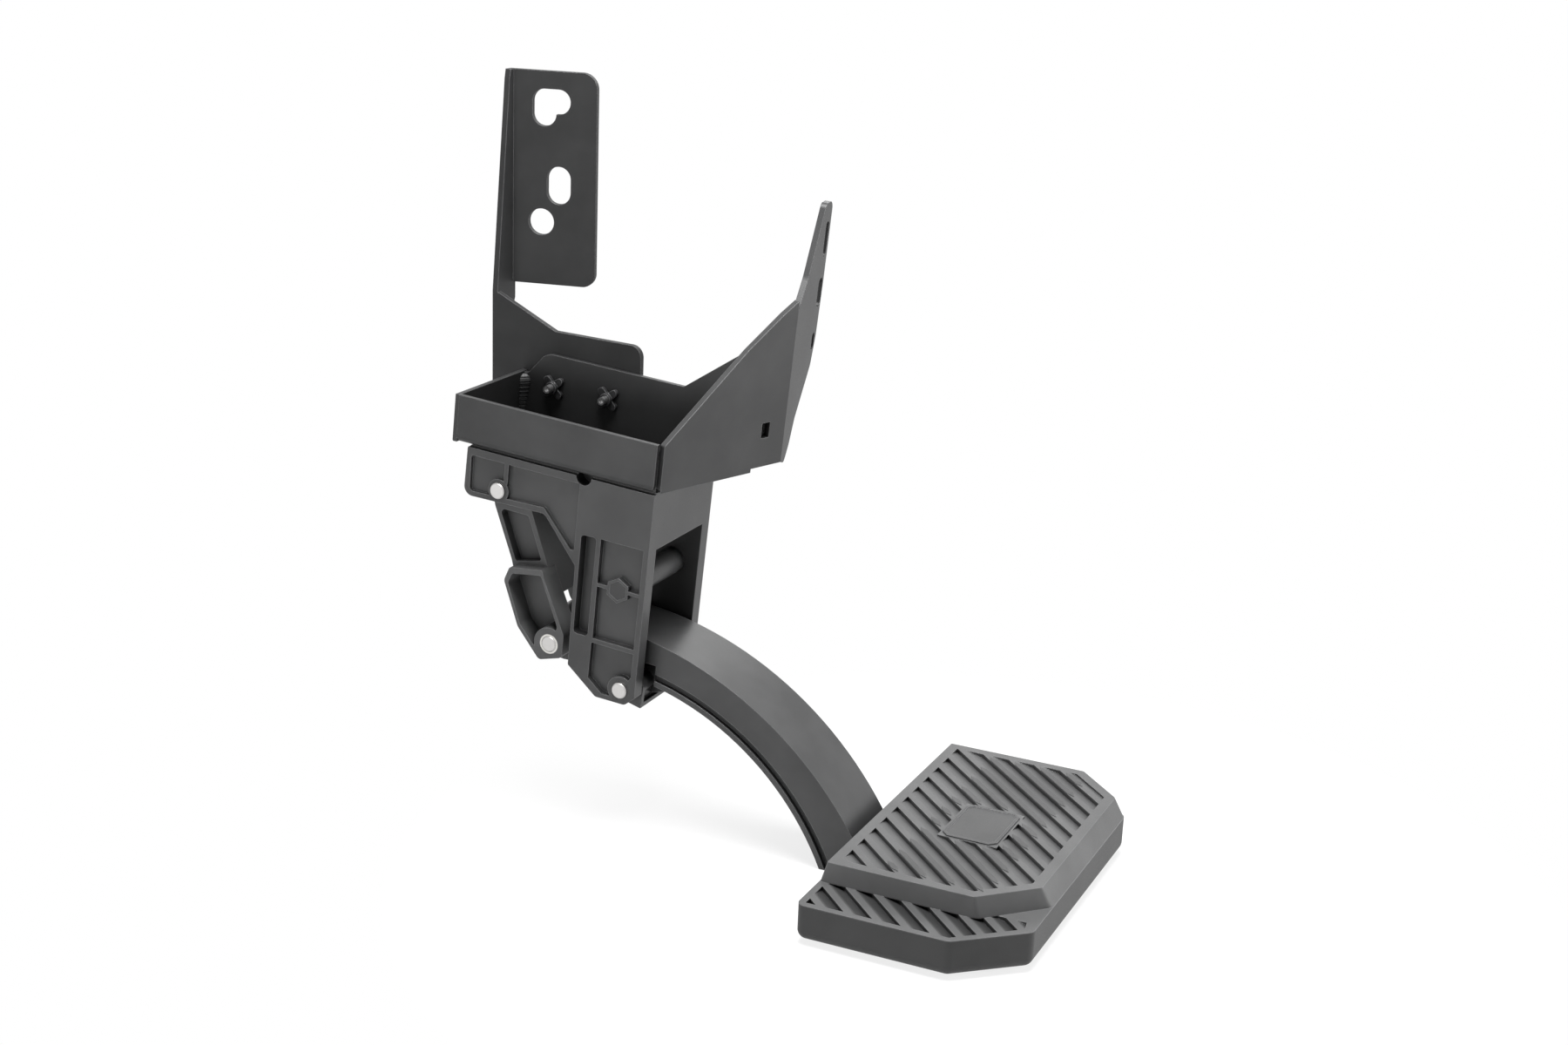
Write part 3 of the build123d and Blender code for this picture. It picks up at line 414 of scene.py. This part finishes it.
strip_vertices = []
strip_faces = []
for n in rib_numbers:
    s = n * rib_pitch + rib_land / 2
    if rib_start[0] + rib_start[1] + 2 * diagonal * s > corner_limit:
        continue
    for start, end in strip_spans(s):
        if end - start < strip_least:
            continue
        vertices, faces = stacked_loops([
            strip_loop(s, start, end, 0.0, pad_top - strip_sunk),
            strip_loop(s, start, end, 0.0, pad_top + 0.4 * strip_height),
            strip_loop(s, start, end, strip_bevel, pad_top + strip_height),
        ])
        first = len(strip_vertices)
        strip_vertices += vertices
        strip_faces += [tuple(first + v for v in face) for face in faces]
mesh_piece("rib_strips", strip_vertices, strip_faces, "arm", "black_pad", tread_shade_coat)

# Weld bead up the tray's inner corner, between its left wall and its back wall
bead_low = (1.43, -30.1, -140.0)
bead_high = (3.91, -30.1, -110.5)
bead_reach = 6.8        # along each wall, at the top
bead_least = 0.45       # share of that reach at the bottom
bead_tip = 0.25         # share of the bead's height that its rounded top takes
bead_hollow = 0.20      # how much flatter than an arc the bead is across the corner
bead_sunk = 0.4         # behind each wall's face
bead_rings = 70
bead_steps = 12


def bead_loop(share):
    """One ring of the bead: a bulge across the corner, with uneven ripples."""
    tip = max(0.0, (share - (1.0 - bead_tip)) / bead_tip)
    reach = bead_reach * (bead_least + (1.0 - bead_least) * share)
    reach *= (1.0 - 0.96 * tip * tip) ** 0.5
    reach *= 1.0 + 0.05 * sin(110.0 * share) + 0.03 * sin(61.0 * share + 1.0)
    x, y, z = (low + (high - low) * share for low, high in zip(bead_low, bead_high))
    loop = [(x - bead_sunk, y + bead_sunk, z), (x - bead_sunk, y - reach, z)]
    for n in range(bead_steps + 1):
        turn = radians(90.0 * n / bead_steps)
        radius = reach * (1.0 - bead_hollow * sin(2 * turn))
        loop.append((x + radius * sin(turn), y - radius * cos(turn), z))
    loop.append((x + reach, y + bead_sunk, z))
    return loop


# The bead's sharp edges take painted shade
weld_coat = coated(
    "rough_weld_coat", (0.010, 0.0102, 0.0104), (0.022, 0.0222, 0.0225),
    0.5, 900.0, 0.00025, edge_light=painted_shade_black, hollow_reach=0.002, gloss=0.25,
)
bead_loops = [bead_loop(n / (bead_rings - 1)) for n in range(bead_rings)]
bead = mesh_piece("corner_weld", *stacked_loops(bead_loops), "base", "black_sheet", weld_coat)
for polygon in bead.data.polygons:
    polygon.use_smooth = True


# Stage: a pale floor that runs out into a white background

floor_z = cad_box[0][2] - 0.0005
floor_centre = ((pad_low[0] + pad_high[0]) / 2, (pad_low[1] + pad_high[1]) / 2, floor_z)
floor_size = 14.0
floor_grey = 0.82
shadow_from = 0.12      # metres from the floor's centre where the shadow starts to fade
shadow_to = 0.42
glow_near = 0.80
world_light = 0.12      # what the world adds to the light on the object


def seen_directly(tree):
    """Is 1 for what the camera, a reflection or glass sees, and 0 for light that bounces."""
    path = tree.nodes.new("ShaderNodeLightPath")
    seen = path.outputs["Is Camera Ray"]
    for ray in ("Is Glossy Ray", "Is Transmission Ray"):
        either = tree.nodes.new("ShaderNodeMath")
        either.operation = "MAXIMUM"
        tree.links.new(seen, either.inputs[0])
        tree.links.new(path.outputs[ray], either.inputs[1])
        seen = either.outputs["Value"]
    return seen


def stage_material():
    """Floor that keeps a faint shadow near the object and runs out into plain white."""
    material = bpy.data.materials.new("pale_floor")
    material.use_nodes = True
    tree = material.node_tree
    shader = tree.nodes["Principled BSDF"]
    shader.inputs["Base Color"].default_value = (floor_grey, floor_grey, floor_grey, 1.0)
    shader.inputs["Roughness"].default_value = 0.9
    glow = tree.nodes.new("ShaderNodeEmission")
    glow.inputs["Color"].default_value = (1.0, 1.0, 1.0, 1.0)
    glow.inputs["Strength"].default_value = 1.0
    place = tree.nodes.new("ShaderNodeNewGeometry")
    away = tree.nodes.new("ShaderNodeVectorMath")
    away.operation = "DISTANCE"
    away.inputs[1].default_value = floor_centre
    tree.links.new(place.outputs["Position"], away.inputs[0])
    share = tree.nodes.new("ShaderNodeMath")
    share.operation = "MULTIPLY"
    tree.links.new(seen_directly(tree), share.inputs[0])
    fade = ramp(tree, away.outputs["Value"], shadow_from, shadow_to, glow_near, 1.0)
    tree.links.new(fade, share.inputs[1])
    mix = tree.nodes.new("ShaderNodeMixShader")
    tree.links.new(share.outputs["Value"], mix.inputs["Fac"])
    tree.links.new(shader.outputs["BSDF"], mix.inputs[1])
    tree.links.new(glow.outputs["Emission"], mix.inputs[2])
    tree.links.new(mix.outputs["Shader"], tree.nodes["Material Output"].inputs["Surface"])
    return material


bpy.ops.mesh.primitive_plane_add(size=floor_size, location=(0.2, 0.0, floor_z))
floor = bpy.context.object
floor.name = "floor"
floor.data.materials.append(stage_material())

world = bpy.data.worlds.new("studio")
bpy.context.scene.world = world
world.use_nodes = True
sky = world.node_tree
background = sky.nodes["Background"]
background.inputs["Color"].default_value = (1.0, 1.0, 1.0, 1.0)
sky.links.new(
    ramp(sky, seen_directly(sky), 0.0, 1.0, world_light, 1.0), background.inputs["Strength"]
)

# Soft lamps: name, place, side in metres, power in watts, all facing the middle of the object
middle = (0.2, -0.08, -0.15)
lamps = (
    ("top_light", (0.35, -0.25, 1.45), 0.9, 84.0),
    ("right_light", (1.8, 0.6, 0.1), 0.9, 22.0),
    ("front_light", (0.0, -1.2, -0.35), 0.7, 8.0),
    ("back_light", (-0.15, 1.6, 0.6), 0.7, 4.0),
)
for name, place, size, power in lamps:
    data = bpy.data.lights.new(name, "AREA")
    data.shape = "SQUARE"
    data.size = size
    data.energy = power
    lamp = bpy.data.objects.new(name, data)
    bpy.context.scene.collection.objects.link(lamp)
    lamp.location = place
    lamp.rotation_euler = (Vector(middle) - Vector(place)).to_track_quat("-Z", "Y").to_euler()

camera_data = bpy.data.cameras.new("photo_camera")
camera_data.lens = camera_lens
camera_data.sensor_width = camera_sensor
camera_data.sensor_fit = "HORIZONTAL"
camera = bpy.data.objects.new("photo_camera", camera_data)
bpy.context.scene.collection.objects.link(camera)
turned = Matrix((camera_right, [-v for v in camera_down], [-v for v in camera_forward]))
camera.matrix_world = Matrix.Translation(camera_place) @ turned.transposed().to_4x4()
bpy.context.scene.camera = camera
bpy.context.scene.view_settings.view_transform = "Standard"
